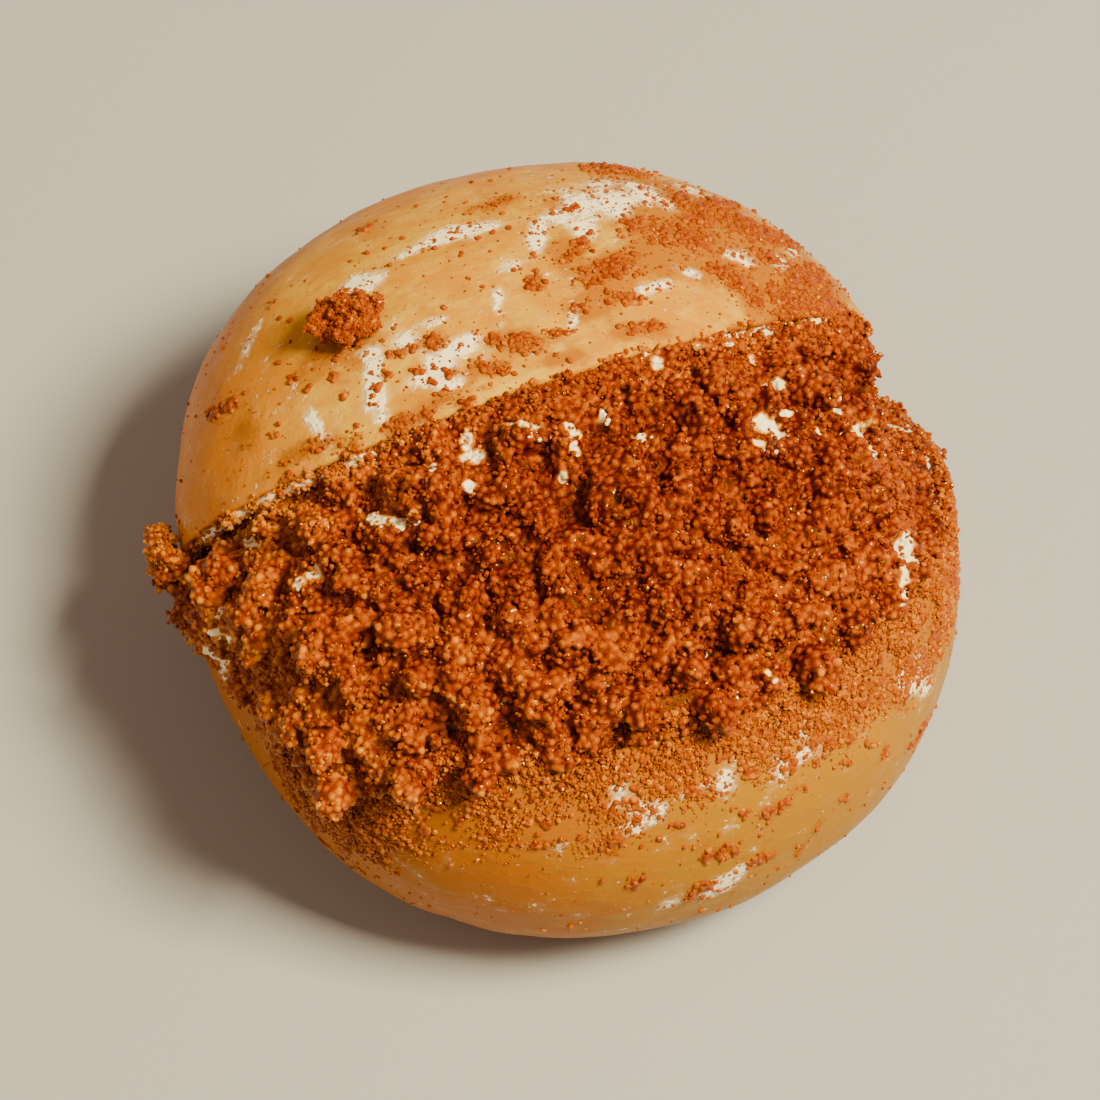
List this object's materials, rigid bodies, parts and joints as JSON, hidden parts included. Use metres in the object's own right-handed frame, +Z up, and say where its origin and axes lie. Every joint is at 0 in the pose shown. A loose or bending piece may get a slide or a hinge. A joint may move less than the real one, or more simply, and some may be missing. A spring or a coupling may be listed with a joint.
{
  "type": "speculoos maritozzo",
  "caption": "Round sweet bun slit open like a mouth, filled with whipped cream and coated along the opening with a thick bed of spiced biscuit crumbs.",
  "frame": {"origin": "middle of the flat spot that the bun rests on", "axes": "+Z up out of the flat spot, X along the bottom of the slit, and the mouth opens upwards and towards -Y"},
  "size_m": [0.1006, 0.1045, 0.0657],
  "materials": {
    "bun_skin": "smooth golden baked crust with a soft satin sheen",
    "whipped_cream": "soft ivory whipped cream",
    "biscuit_crumbs": "rough orange-brown spiced biscuit crumbs"
  },
  "bodies": {
    "root": {"bun": "bun_skin", "cream": "whipped_cream", "crumb_layer": "biscuit_crumbs", "crumb_lump": "biscuit_crumbs"}
  },
  "joints": []
}
